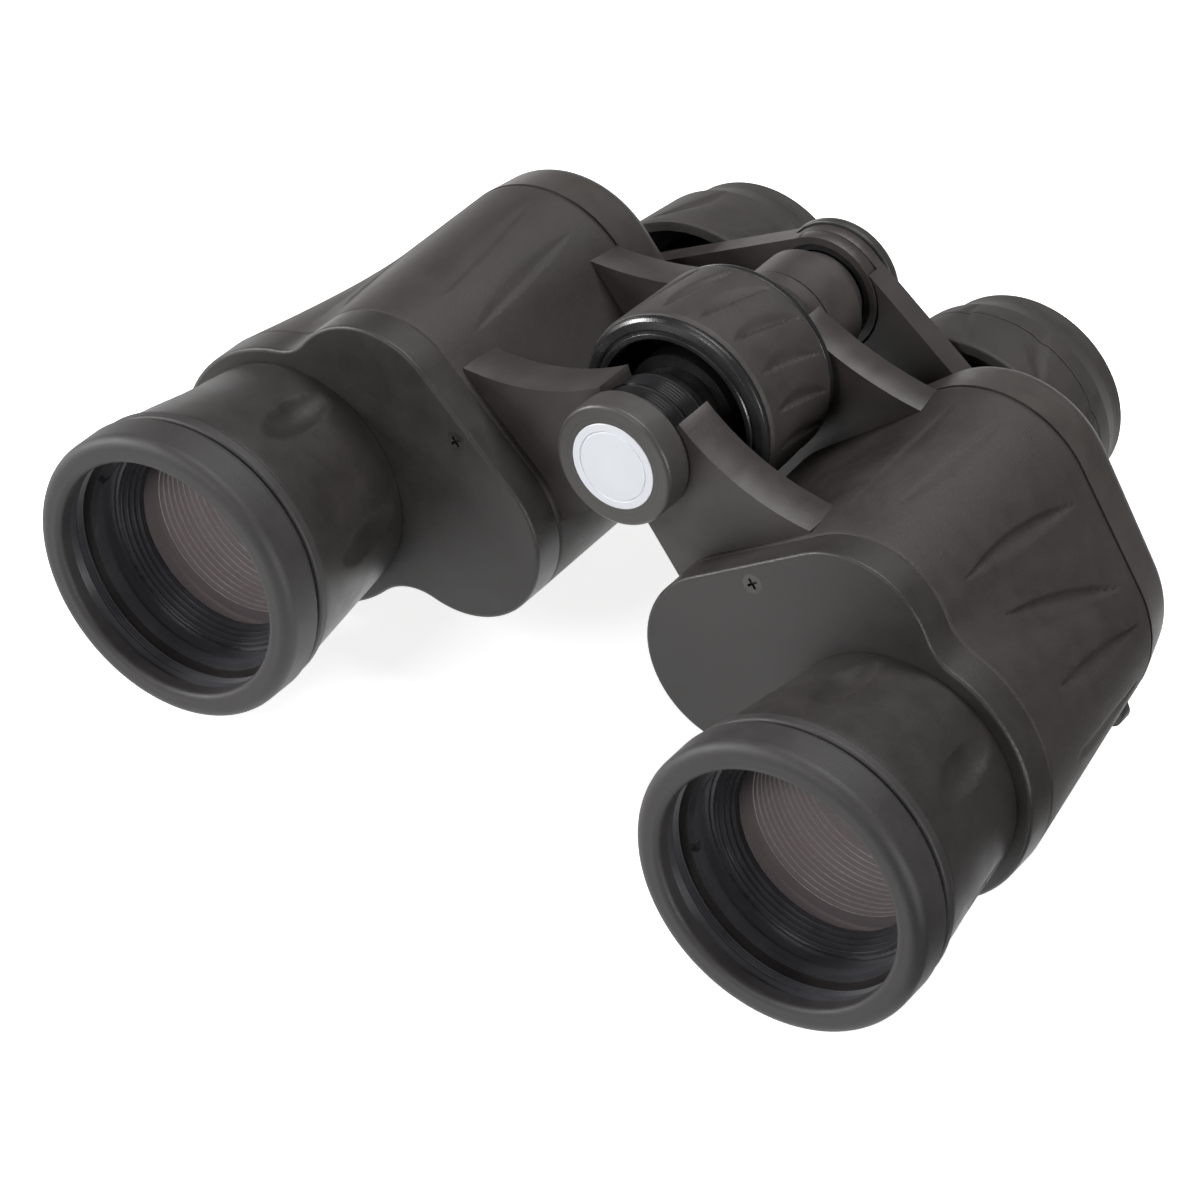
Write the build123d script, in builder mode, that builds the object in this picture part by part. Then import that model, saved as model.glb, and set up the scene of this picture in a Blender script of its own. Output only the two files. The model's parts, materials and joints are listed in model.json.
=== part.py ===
from build123d import *
import math
import os

# Porro-prism binoculars, 8 x 40 class. Millimetres.
# X to the right, Y along the optical axes towards the eyepieces, Z up.
# The origin is on the surface the objective rims stand on, midway along the length.
# A "station" is a distance along Y from the front of the objective rims.
# Every barrel piece is designed on the right side and mirrored for the left.

os.makedirs("parts", exist_ok=True)

# ---- layout of the axes -------------------------------------------------------------
LENGTH = 144.0                      # objective rims to the rear of the right eyecup
RIM_R = 28.0                        # objective rim, outside
OBJECTIVE = (63.7, RIM_R)           # x, z of the objective axis
EYEPIECE = (29.0, RIM_R + 6.6)      # x, z of the eyepiece axis
HINGE_Z = RIM_R + 32.6
# The prisms fold the light path through a right angle, at this middle axis.
MIDDLE = (
    (OBJECTIVE[0] + EYEPIECE[0] + EYEPIECE[1] - OBJECTIVE[1]) / 2,
    (OBJECTIVE[1] + EYEPIECE[1] + OBJECTIVE[0] - EYEPIECE[0]) / 2,
)

RUNNING = 0.08                      # radial clearance of shafts that turn or slide
GAP = 0.2                           # axial gap between pieces that move apart

# ---- stations -----------------------------------------------------------------------
COVER_FRONT = 40.0                  # face of the front cover
BODY_FRONT = 46.8                   # front cover meets the prism housing
BODY_REAR = 94.0                    # housing meets the rear cover
COVER_REAR = 105.0
FRONT_ARM = (48.5, 57.5)            # hinge arms of the housings
REAR_ARM = (86.5, 93.8)
CAP = (42.0, 48.2)                  # hinge cap
WHEEL = (61.2, 85.4)
OCULAR_ARM = (111.5, 116.6)
BRIDGE_REAR = 119.8
EYECUP_REAR = 143.0                 # left eyecup; the right one is set out by the dioptre
DIOPTRE_SET = LENGTH - EYECUP_REAR

# ---- radii and walls ----------------------------------------------------------------
ARMOUR = 1.4                        # rubber skin
WALL = 1.8                          # housing castings
LOBE_R = 17.5                       # front outline, round the eyepiece axis
HUMP_R = 17.5                       # front outline, round the middle axis
BARREL_R = 26.0                     # front outline, round the objective axis
WAIST_FILLET = 9.0                  # hollow between barrel and hump
BELLY_FILLET = 11.0                 # hollow between lobe and barrel
REAR_LOBE_R = 18.0
REAR_HUMP_R = 20.8
REAR_BARREL_R = 21.2
HINGE_R = 7.0                       # hinge tube
SHAFT_R = 5.0                       # focus shaft, inside the hinge tube
FRONT_LUG_R = 10.2
REAR_LUG_R = 11.3
CAP_R = 11.7
GUIDE_R = 8.6                       # guide sleeve behind the hinge
HUB_R = 9.8                         # ocular bridge
BRIDGE_R = 11.9
SLEEVE_R = 15.0                     # eyepiece bore of the rear cover
PRISM_R = 12.0                      # half the width of a prism
TRIPOD_R = 3.175                    # quarter-inch tripod thread


def to_y(station):
    return station - LENGTH / 2


def cross_plane(station):
    """The XZ plane at a station. Its local axes are X and Z, and -amount runs rearwards."""
    return Plane.XZ.offset(-to_y(station))


def turned(axis_at, profile, rounds=None):
    """A turned piece about an axis parallel to Y. The profile is (station, radius) points,
    and rounds gives the fillet radius of some of its corners by index."""
    x, z = axis_at
    plane = Plane(origin=(x, to_y(0), z), x_dir=(0, 1, 0), z_dir=(0, 0, -1))
    with BuildPart() as piece:
        with BuildSketch(plane) as half:
            with BuildLine():
                Polyline(*profile, close=True)
            make_face()
            for index, radius in (rounds or {}).items():
                corner = half.vertices().sort_by_distance(Vector(*profile[index]))[0]
                fillet(corner, radius)
        revolve(axis=Axis((x, 0, z), (0, 1, 0)))
    return piece


def lens(axis_at, station, radius, edge, front, rear):
    """A lens whose rim starts at a station. front and rear are the depths of its two
    faces, positive where a face bulges out of the glass."""
    x, z = axis_at
    plane = Plane(origin=(x, to_y(0), z), x_dir=(0, 1, 0), z_dir=(0, 0, -1))
    vertex_front = (station - front, 0)
    vertex_rear = (station + edge + rear, 0)
    with BuildPart() as glass:
        with BuildSketch(plane):
            with BuildLine():
                TangentArc(vertex_front, (station, radius), tangent=(0, 1))
                Line((station, radius), (station + edge, radius))
                TangentArc(vertex_rear, (station + edge, radius), tangent=(0, 1))
                Line(vertex_rear, vertex_front)
            make_face()
        revolve(axis=Axis((x, 0, z), (0, 1, 0)))
    return glass


def save(piece, name):
    piece.part.label = name
    export_step(piece.part, f"parts/{name}.step")


def mirrored(piece):
    with BuildPart() as other:
        mirror(piece.part, about=Plane.YZ)
    return other


def save_pair(piece, name):
    save(piece, f"right_{name}")
    save(mirrored(piece), f"left_{name}")


# ---- outlines of the barrels --------------------------------------------------------
# Each outline is three rounds taken anticlockwise: lobe, barrel, hump. A round is
# (centre, radius, fillet), and fillet is the hollow that joins it to the next round,
# or None where a straight tangent joins them.
FRONT_ROUNDS = (
    ((EYEPIECE[0], EYEPIECE[1] - 1.6), LOBE_R, BELLY_FILLET),
    (OBJECTIVE, BARREL_R, WAIST_FILLET),
    (MIDDLE, HUMP_R, None),
)
REAR_ROUNDS = (
    (EYEPIECE, REAR_LOBE_R, None),
    ((OBJECTIVE[0] - 1.4, OBJECTIVE[1] + 2.0), REAR_BARREL_R, None),
    ((MIDDLE[0] - 2.0, MIDDLE[1] + 0.6), REAR_HUMP_R, None),
)
# The rear cover narrows on its outer side towards the rear face.
END_ROUNDS = (
    (EYEPIECE, REAR_LOBE_R - 0.4, None),
    ((OBJECTIVE[0] - 3.4, OBJECTIVE[1] + 2.6), REAR_BARREL_R - 1.0, None),
    ((MIDDLE[0] - 2.4, MIDDLE[1] + 0.2), REAR_HUMP_R - 0.5, None),
)


def polar(centre, radius, angle):
    return (centre[0] + radius * math.cos(angle), centre[1] + radius * math.sin(angle))


def bearing(start, end):
    return math.atan2(end[1] - start[1], end[0] - start[0])


def joint_of(first, second):
    """The bearings at which the outline leaves the first round and meets the second,
    and the centre of the hollow fillet between them, if they have one."""
    (centre_1, radius_1, hollow), (centre_2, radius_2, _) = first, second
    heading = bearing(centre_1, centre_2)
    distance = math.dist(centre_1, centre_2)
    if hollow is None:
        turn = math.acos((radius_1 - radius_2) / distance)
        return heading - turn, heading - turn, None
    reach_1, reach_2 = radius_1 + hollow, radius_2 + hollow
    turn = math.acos((reach_1**2 + distance**2 - reach_2**2) / (2 * reach_1 * distance))
    middle = polar(centre_1, reach_1, heading - turn)
    return heading - turn, bearing(centre_2, middle), middle


def outline(station, rounds, inset=0.0):
    """The closed outline of a barrel at a station, moved in by inset."""
    moved = [(c, r - inset, f and f + inset) for c, r, f in rounds]
    joints = [joint_of(moved[i], moved[(i + 1) % len(moved)]) for i in range(len(moved))]
    with BuildSketch(cross_plane(station)) as face:
        with BuildLine():
            for i, (centre, radius, _) in enumerate(moved):
                start, (end, next_start, middle) = joints[i - 1][1], joints[i]
                following = moved[(i + 1) % len(moved)]
                span = (end - start) % math.tau
                leave = polar(centre, radius, end)
                arrive = polar(following[0], following[1], next_start)
                ThreePointArc(polar(centre, radius, start), polar(centre, radius, start + span / 2), leave)
                if middle is None:
                    Line(leave, arrive)
                else:
                    RadiusArc(leave, arrive, math.dist(middle, leave))
        make_face()
    return face


def body_loft(inset):
    """The tapering body between the covers, its whole skin moved in by inset."""
    front = outline(BODY_FRONT, FRONT_ROUNDS, inset)
    rear = outline(BODY_REAR, REAR_ROUNDS, inset)
    with BuildPart() as body:
        loft([front.sketch, rear.sketch])
    return body


skin = body_loft(0.0)               # outside of the rubber armour
casting = body_loft(ARMOUR)         # outside of the prism housing
cavity = body_loft(ARMOUR + WALL)   # inside of the prism housing


def disc(station, centre, radius, length, mode=Mode.ADD):
    """A cylinder along Y that starts at a station, inside the part being built."""
    with BuildSketch(cross_plane(station)) as face:
        with Locations(centre):
            Circle(radius)
    extrude(face.sketch, amount=-length, mode=mode)


# ---- hinge: lugs, webs and the tube they turn on ------------------------------------
HINGE = (0.0, HINGE_Z)
# Each arm's lug takes half of its length: the right lug in front, the left one behind.
FRONT_MIDDLE = sum(FRONT_ARM) / 2
REAR_MIDDLE = sum(REAR_ARM) / 2
LUG_SPANS = {
    "right": (
        (FRONT_ARM[0], FRONT_MIDDLE - GAP / 2, FRONT_LUG_R),
        (REAR_ARM[0], REAR_MIDDLE - GAP / 2, REAR_LUG_R),
    ),
    "left": (
        (FRONT_MIDDLE + GAP / 2, FRONT_ARM[1], FRONT_LUG_R),
        (REAR_MIDDLE + GAP / 2, REAR_ARM[1], REAR_LUG_R),
    ),
}
OTHER = {"right": "left", "left": "right"}
SWEEP = 0.4                         # clearance round the other barrel's lugs


def web_face(station, tip, shoulder, hem):
    """The side of a hinge arm: a hollow curve from its tip beside the hinge down to its
    shoulder on the body, and a cranked edge underneath through the hem points."""
    tip_x, tip_z = tip[0], tip[1] + RIM_R
    shoulder_x, shoulder_z = shoulder[0], shoulder[1] + RIM_R
    with BuildSketch(cross_plane(station)) as face:
        with BuildLine():
            TangentArc((shoulder_x, shoulder_z), (tip_x, tip_z), tangent=(-1, 0))
            Polyline(
                (tip_x, tip_z),
                (3.0, HINGE_Z),
                (1.4, HINGE_Z - 10.2),
                *hem,
                (EYEPIECE[0] - 4.0, EYEPIECE[1] + 8.0),
                (shoulder_x + 2.0, shoulder_z - 5.0),
                (shoulder_x, shoulder_z),
            )
        make_face()
    return face


FRONT_HEM = ((EYEPIECE[0] - 16.0, EYEPIECE[1] + 3.5),)
REAR_HEM = ((5.4, EYEPIECE[1] + 5.4), (7.6, EYEPIECE[1] + 1.8), (14.0, EYEPIECE[1] + 1.2))
ARMS = (
    (FRONT_ARM, (8.2, 42.0), (36.0, 32.9), FRONT_HEM),
    (REAR_ARM, (8.6, 43.0), (38.0, 36.6), REAR_HEM),
)
FRONT_SCREW = (30.9, RIM_R + 24.0)
# Rear screws: the screw and the point on the wall that its post reaches to.
REAR_POSTS = (
    ((46.0, RIM_R - 6.0), (45.0, RIM_R - 10.4)),
    ((33.4, RIM_R + 27.1), (32.4, RIM_R + 27.9)),
)
POST_R = 2.3
POST_DEPTH = 10.0
SCREW_R = 1.2
SCREW_HEAD_R = 1.9
SCREW_HEAD = 1.2


def post(station, screw, wall, length):
    with BuildSketch(cross_plane(station)) as face:
        for centre in (screw, wall):
            with Locations(centre):
                Circle(POST_R)
        make_hull()
    extrude(face.sketch, amount=-length)


def prism_housing(side):
    bore_r = HINGE_R + (RUNNING if side == "right" else 0.0)
    with BuildPart() as housing:
        add(casting.part)
        for (start, end), tip, shoulder, hem in ARMS:
            extrude(web_face(start, tip, shoulder, hem).sketch, amount=start - end)
        add(cavity.part, mode=Mode.SUBTRACT)
        for start, end, radius in LUG_SPANS[OTHER[side]]:
            disc(start - GAP, HINGE, radius + SWEEP, end - start + 2 * GAP, Mode.SUBTRACT)
        for start, end, radius in LUG_SPANS[side]:
            disc(start, HINGE, radius, end - start)
        disc(CAP[0], HINGE, bore_r, BODY_REAR - CAP[0], Mode.SUBTRACT)
        disc(BODY_FRONT, FRONT_SCREW, POST_R, POST_DEPTH)
        disc(BODY_FRONT, FRONT_SCREW, SCREW_R, POST_DEPTH, Mode.SUBTRACT)
        for screw, wall in REAR_POSTS:
            post(BODY_REAR - POST_DEPTH, screw, wall, POST_DEPTH)
            disc(BODY_REAR - POST_DEPTH, screw, SCREW_R, POST_DEPTH, Mode.SUBTRACT)
    return housing


save(prism_housing("right"), "right_prism_housing")
save(mirrored(prism_housing("left")), "left_prism_housing")

# ---- rubber armour, notched where the hinge arms leave the body ---------------------
NOTCH = 0.3
with BuildPart() as armour:
    add(skin.part)
    add(casting.part, mode=Mode.SUBTRACT)
    for (start, end), tip, shoulder, hem in ARMS:
        notch = web_face(start - NOTCH, tip, (shoulder[0] + 2 * NOTCH, shoulder[1]), hem)
        extrude(notch.sketch, amount=start - end - 2 * NOTCH, mode=Mode.SUBTRACT)
save_pair(armour, "rubber_armour")

# ---- covers -------------------------------------------------------------------------
FRONT_PLATE = 1.8
FRONT_ROUNDING = 0.7
TUBE_SPIGOT_R = 20.5
with BuildPart() as front_cover:
    extrude(outline(COVER_FRONT, FRONT_ROUNDS).sketch, amount=COVER_FRONT - BODY_FRONT)
    fillet(front_cover.faces().sort_by(Axis.Y)[0].edges(), FRONT_ROUNDING)
    hollow = outline(COVER_FRONT + FRONT_PLATE, FRONT_ROUNDS, FRONT_PLATE)
    extrude(hollow.sketch, amount=COVER_FRONT + FRONT_PLATE - BODY_FRONT, mode=Mode.SUBTRACT)
    disc(COVER_FRONT + FRONT_PLATE, FRONT_SCREW, POST_R, BODY_FRONT - COVER_FRONT - FRONT_PLATE)
    disc(COVER_FRONT, OBJECTIVE, TUBE_SPIGOT_R, FRONT_PLATE, Mode.SUBTRACT)
    disc(COVER_FRONT, FRONT_SCREW, SCREW_R, BODY_FRONT - COVER_FRONT, Mode.SUBTRACT)
    disc(COVER_FRONT, FRONT_SCREW, SCREW_HEAD_R, SCREW_HEAD, Mode.SUBTRACT)
save_pair(front_cover, "front_cover")

REAR_PLATE = 2.0
REAR_WALL = 2.4
REAR_ROUNDING = 3.6
SLEEVE = (97.0, 108.0)
SLEEVE_WALL = 2.0
SCREW_SINK = 5.0                    # rear screw heads lie this far below the rear face
with BuildPart() as rear_cover:
    loft([outline(BODY_REAR, REAR_ROUNDS).sketch, outline(COVER_REAR, END_ROUNDS).sketch])
    fillet(rear_cover.faces().sort_by(Axis.Y)[-1].edges(), REAR_ROUNDING)
    hollow = outline(BODY_REAR, REAR_ROUNDS, REAR_WALL)
    hollow_end = outline(COVER_REAR - REAR_PLATE, END_ROUNDS, REAR_WALL + REAR_PLATE / 2)
    loft([hollow.sketch, hollow_end.sketch], mode=Mode.SUBTRACT)
    for screw, wall in REAR_POSTS:
        post(BODY_REAR, screw, wall, COVER_REAR - BODY_REAR - REAR_PLATE)
    disc(SLEEVE[0], EYEPIECE, SLEEVE_R + SLEEVE_WALL, SLEEVE[1] - SLEEVE[0])
    disc(BODY_REAR, EYEPIECE, SLEEVE_R, SLEEVE[1] - BODY_REAR, Mode.SUBTRACT)
    for screw, _ in REAR_POSTS:
        disc(BODY_REAR, screw, SCREW_R, COVER_REAR - BODY_REAR, Mode.SUBTRACT)
        disc(COVER_REAR - SCREW_SINK, screw, SCREW_HEAD_R, SCREW_SINK, Mode.SUBTRACT)
save_pair(rear_cover, "rear_cover")


RECESS_DEPTH = 0.7
SCREW_BITE = 6.0                    # screw length inside the housing's posts


def cross_recess(station, centre):
    """A Phillips recess, cut into the screw being built."""
    for angle in (45, 135):
        with BuildSketch(cross_plane(station)) as slot:
            with Locations(centre):
                Rectangle(2.2, 0.5, rotation=angle)
        extrude(slot.sketch, amount=-RECESS_DEPTH, mode=Mode.SUBTRACT)


with BuildPart() as cover_screws:
    disc(COVER_FRONT, FRONT_SCREW, SCREW_HEAD_R, SCREW_HEAD)
    shank = COVER_FRONT + SCREW_HEAD
    disc(shank, FRONT_SCREW, SCREW_R, BODY_FRONT + SCREW_BITE - shank)
    cross_recess(COVER_FRONT, FRONT_SCREW)
    head = COVER_REAR - SCREW_SINK
    for screw, _ in REAR_POSTS:
        disc(BODY_REAR - SCREW_BITE, screw, SCREW_R, head - BODY_REAR + SCREW_BITE)
        disc(head, screw, SCREW_HEAD_R, SCREW_HEAD)
        cross_recess(head + SCREW_HEAD - RECESS_DEPTH, screw)
save_pair(cover_screws, "cover_screws")

# ---- strap lug: a flat loop on the outer side of the rear cover ----------------------
LUG_STATION = BODY_REAR + 0.6
LUG_THICK = 3.4
LUG_BEARING = -60.0                 # degrees, seen from the rear barrel round's centre
LUG_OUT = 0.7                       # middle of the lug, outside the cover
LUG_SIZE = (5.6, 15.0)
LUG_CORNER = 2.2
STRAP_SLOT = (9.6, 3.0)
lug_centre = polar(REAR_ROUNDS[1][0], REAR_BARREL_R + LUG_OUT, math.radians(LUG_BEARING))
with BuildPart() as strap_lug:
    with BuildSketch(cross_plane(LUG_STATION)):
        with Locations(lug_centre):
            RectangleRounded(*LUG_SIZE, LUG_CORNER, rotation=LUG_BEARING)
            SlotOverall(*STRAP_SLOT, rotation=LUG_BEARING + 90, mode=Mode.SUBTRACT)
    extrude(amount=-LUG_THICK)
    extrude(outline(LUG_STATION, REAR_ROUNDS).sketch, amount=-LUG_THICK, mode=Mode.SUBTRACT)
save_pair(strap_lug, "strap_lug")

# ---- objective: rubber rim, tube, cemented doublet, retainer, baffle ----------------
TUBE_NOSE_R = 25.2
objective_rim = turned(
    OBJECTIVE,
    [(0.0, 23.0), (0.0, RIM_R), (8.2, RIM_R), (8.2, 26.7), (9.6, 26.7), (9.6, 27.5),
     (12.0, 27.5), (12.0, TUBE_NOSE_R), (3.2, TUBE_NOSE_R), (3.2, 23.0)],
    {0: 1.2, 1: 2.4, 2: 0.4, 5: 0.7, 6: 0.5},
)
save_pair(objective_rim, "objective_rim")

LENS_R = 21.1
LENS_SEAT = (18.8, 27.0)
RETAINER = (8.6, LENS_SEAT[0])
RETAINER_R = 22.4
BAFFLE_R = 19.6
TUBE_END = 43.2
TUBE_BORE_END_R = 18.6
objective_tube = turned(
    OBJECTIVE,
    [(3.2, TUBE_NOSE_R), (12.0, TUBE_NOSE_R), (12.0, 26.7), (COVER_FRONT, 23.2),
     (COVER_FRONT, TUBE_SPIGOT_R), (TUBE_END, TUBE_SPIGOT_R), (TUBE_END, TUBE_BORE_END_R),
     (COVER_FRONT, TUBE_BORE_END_R), (COVER_FRONT, BAFFLE_R), (LENS_SEAT[1], BAFFLE_R),
     (LENS_SEAT[1], LENS_R), (LENS_SEAT[0], LENS_R), (LENS_SEAT[0], RETAINER_R),
     (8.2, RETAINER_R), (8.2, 22.9), (3.2, 23.4)],
)
save_pair(objective_tube, "objective_tube")

CROWN_EDGE = 3.2
CEMENT_SAG = 2.2
crown_lens = lens(OBJECTIVE, LENS_SEAT[0], LENS_R, CROWN_EDGE, front=3.0, rear=CEMENT_SAG)
save_pair(crown_lens, "crown_lens")
flint_start = LENS_SEAT[0] + CROWN_EDGE
flint_edge = LENS_SEAT[1] - 0.1 - flint_start
flint_lens = lens(OBJECTIVE, flint_start, LENS_R, flint_edge, front=-CEMENT_SAG, rear=0.6)
save_pair(flint_lens, "flint_lens")

NOTCH_ANGLE = 20.0                  # spanner notches of the retainer
NOTCH_WIDTH = 1.6
NOTCH_DEPTH = 1.4
LENS_STOP_R = 18.2
retainer_ring = turned(
    OBJECTIVE,
    [(RETAINER[0], 21.2), (RETAINER[0], RETAINER_R), (RETAINER[1], RETAINER_R),
     (RETAINER[1], LENS_R), (17.85, LENS_STOP_R), (17.5, LENS_STOP_R), (14.4, 21.0),
     (14.4, 21.8), (10.5, 21.8), (10.5, 21.2)],
)
with BuildPart() as lens_retainer:
    add(retainer_ring.part)
    with BuildSketch(cross_plane(RETAINER[0])):
        with Locations(OBJECTIVE):
            Rectangle(2 * RETAINER_R + 1, NOTCH_WIDTH, rotation=NOTCH_ANGLE)
    extrude(amount=-NOTCH_DEPTH, mode=Mode.SUBTRACT)
save_pair(lens_retainer, "lens_retainer")

BAFFLE_START = 28.0
BAFFLE_RIBS = 4
BAFFLE_PITCH = 2.6
RIB_WIDTH = 0.8
RIB_R = 17.9                        # first rib's bore; each rib is a little narrower
RIB_STEP = 0.25
BAFFLE_BORE = 18.9
baffle_inside = []
for rib in range(BAFFLE_RIBS):
    rib_start = BAFFLE_START + rib * BAFFLE_PITCH
    rib_end = rib_start + RIB_WIDTH
    rib_r = RIB_R - rib * RIB_STEP
    baffle_inside += [(rib_start, rib_r), (rib_end, rib_r),
                      (rib_end, BAFFLE_BORE), (rib_start + BAFFLE_PITCH, BAFFLE_BORE)]
baffle_end = BAFFLE_START + BAFFLE_RIBS * BAFFLE_PITCH
baffle_outside = [(baffle_end, BAFFLE_R), (BAFFLE_START, BAFFLE_R)]
light_baffle = turned(OBJECTIVE, baffle_inside + baffle_outside)
save_pair(light_baffle, "light_baffle")

# ---- prisms, the shelf between them and their spring clips ---------------------------
SHELF = (68.0, 72.0)
PRISM_WIDTH_R = 10.8
SHELF_WINDOW_R = 9.6


def prism_plane(first, second, station):
    """A plane that holds both axes: local x runs from one to the other, local y is +Y."""
    run = Vector(second[0] - first[0], 0, second[1] - first[1]).normalized()
    return Plane(
        origin=((first[0] + second[0]) / 2, to_y(station), (first[1] + second[1]) / 2),
        x_dir=run, z_dir=(-run.Z, 0, run.X),
    )


def porro_prism(first, second, station, facing):
    """A right-angle prism on the shelf. facing is 1 when its ridge points rearwards."""
    half = math.dist(first, second) / 2 + PRISM_WIDTH_R
    with BuildPart() as prism:
        with BuildSketch(prism_plane(first, second, station)):
            with BuildLine():
                Polyline((-half, 0), (half, 0), (0, facing * half), close=True)
            make_face()
        extrude(amount=PRISM_WIDTH_R, both=True)
        with BuildSketch(cross_plane(station)):
            for centre in (first, second):
                with Locations(centre):
                    Circle(PRISM_WIDTH_R)
            make_hull()
        extrude(amount=half, both=True, mode=Mode.INTERSECT)
    return prism


def spring_clip(first, second, station, facing):
    """A bent strip over a prism's ridge, with a foot on the shelf at each end."""
    half = math.dist(first, second) / 2 + PRISM_WIDTH_R
    foot, width, thick, slack = 2.2, 6.0, 0.7, 0.3
    with BuildPart() as clip:
        with BuildSketch(prism_plane(first, second, station)):
            with BuildLine():
                Polyline(
                    (-half - foot, 0), (-half, 0), (0, facing * half), (half, 0),
                    (half + foot, 0), (half + foot, facing * thick),
                    (half + slack, facing * thick), (0, facing * (half + 1.4 * thick)),
                    (-half - slack, facing * thick), (-half - foot, facing * thick), close=True,
                )
            make_face()
        extrude(amount=width / 2, both=True)
    return clip


save_pair(porro_prism(EYEPIECE, MIDDLE, SHELF[0], -1), "front_prism")
save_pair(porro_prism(OBJECTIVE, MIDDLE, SHELF[1], 1), "rear_prism")
front_clip = spring_clip(EYEPIECE, MIDDLE, SHELF[0], -1)
rear_clip = spring_clip(OBJECTIVE, MIDDLE, SHELF[1], 1)
with BuildPart() as prism_clips:
    add(front_clip.part)
    add(rear_clip.part)
save_pair(prism_clips, "prism_clips")

with BuildPart() as prism_shelf:
    add(cavity.part)
    with Locations((0, to_y(sum(SHELF) / 2), 0)):
        Box(2 * LENGTH, SHELF[1] - SHELF[0], 2 * LENGTH, mode=Mode.INTERSECT)
    for centre in (OBJECTIVE, MIDDLE, EYEPIECE):
        disc(SHELF[0], centre, SHELF_WINDOW_R, SHELF[1] - SHELF[0], Mode.SUBTRACT)
save_pair(prism_shelf, "prism_shelf")

# ---- hinge tube, guide sleeve, spacers and the screw-on cap --------------------------
TUBE = (CAP[0] + 1.9, 111.0)
TRIPOD_DEPTH = 12.0
SHAFT_BORE = 58.0                   # station where the bore of the focus shaft starts
DRIVE_PIN = 72.0                    # station of the pin that the wheel drives
PIN_R = 1.8
PIN_REACH = 9.2
PIN_SLACK = 0.2                     # each side of the pin in the tube's slot
RECESS = (66.5, 82.0)               # run of the drive pin inside the wheel
with BuildPart() as hinge_tube:
    disc(TUBE[0], HINGE, HINGE_R, TUBE[1] - TUBE[0])
    disc(TUBE[0], HINGE, TRIPOD_R, TRIPOD_DEPTH, Mode.SUBTRACT)
    disc(SHAFT_BORE, HINGE, SHAFT_R, TUBE[1] - SHAFT_BORE, Mode.SUBTRACT)
    with BuildSketch(Plane.YZ):
        with Locations((to_y(sum(RECESS) / 2), HINGE_Z)):
            SlotOverall(RECESS[1] - RECESS[0], 2 * (PIN_R + PIN_SLACK))
    extrude(amount=2 * HINGE_R, both=True, mode=Mode.SUBTRACT)
save(hinge_tube, "hinge_tube")

COLLAR = (REAR_ARM[1], 108.2)       # the wide part of the guide, ahead of the sliding hub
COLLAR_GROOVE = (97.0, 97.5)
guide_sleeve = turned(
    HINGE,
    [(COLLAR[0], HINGE_R), (COLLAR[0], 11.2), (COLLAR_GROOVE[0], 11.2), (COLLAR_GROOVE[0], 10.4),
     (COLLAR_GROOVE[1], 10.4), (COLLAR_GROOVE[1], 11.0), (106.8, 11.0), (107.6, 9.4),
     (COLLAR[1], 9.4), (COLLAR[1], GUIDE_R), (TUBE[1], GUIDE_R), (TUBE[1], HINGE_R)],
)
save(guide_sleeve, "guide_sleeve")

front_washer = turned(
    HINGE,
    [(FRONT_ARM[1], HINGE_R), (FRONT_ARM[1], 9.6), (59.5, 9.6), (59.5, 8.6), (63.4, 8.6),
     (63.4, HINGE_R)],
)
rear_washer = turned(HINGE, [(85.5, HINGE_R), (85.5, 9.0), (86.3, 9.0), (86.3, HINGE_R)])
with BuildPart() as hinge_washers:
    add(front_washer.part)
    add(rear_washer.part)
save(hinge_washers, "hinge_washers")

BADGE_R = 9.3
BADGE_DEPTH = 0.5
hinge_cap = turned(
    HINGE,
    [(CAP[0] + BADGE_DEPTH, 0.0), (CAP[0] + BADGE_DEPTH, BADGE_R), (CAP[0], BADGE_R),
     (CAP[0], CAP_R), (CAP[1], CAP_R), (CAP[1], HINGE_R + RUNNING),
     (TUBE[0] - 0.2, HINGE_R + RUNNING), (TUBE[0] - 0.2, 0.0)],
    {3: 0.9, 4: 0.4},
)
save(hinge_cap, "hinge_cap")
cap_badge = turned(
    HINGE,
    [(CAP[0] - 0.1, 0.0), (CAP[0] - 0.1, BADGE_R), (CAP[0] + BADGE_DEPTH, BADGE_R),
     (CAP[0] + BADGE_DEPTH, 0.0)],
)
save(cap_badge, "cap_badge")

# ---- focus wheel ----------------------------------------------------------------------
GRIP = (63.2, 83.6)
GRIP_SEAT_R = 17.4
wheel_bore = HINGE_R + RUNNING
focus_wheel = turned(
    HINGE,
    [(WHEEL[0], 16.0), (WHEEL[0], 18.2), (GRIP[0], 19.0), (GRIP[0], GRIP_SEAT_R),
     (GRIP[1], GRIP_SEAT_R), (GRIP[1], 18.3), (WHEEL[1] - 0.1, 18.3),
     (WHEEL[1] - 0.1, wheel_bore), (RECESS[1], wheel_bore), (RECESS[1], 9.6),
     (RECESS[0], 9.6), (RECESS[0], wheel_bore), (63.6, wheel_bore), (63.6, 10.8),
     (80.4, 10.8), (80.4, 16.0)],
)
save(focus_wheel, "focus_wheel")
wheel_grip = turned(
    HINGE,
    [(GRIP[0], GRIP_SEAT_R), (GRIP[0], 19.3), (GRIP[1], 18.7), (GRIP[1], GRIP_SEAT_R)],
    {1: 0.7, 2: 1.2},
)
save(wheel_grip, "wheel_grip")

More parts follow.
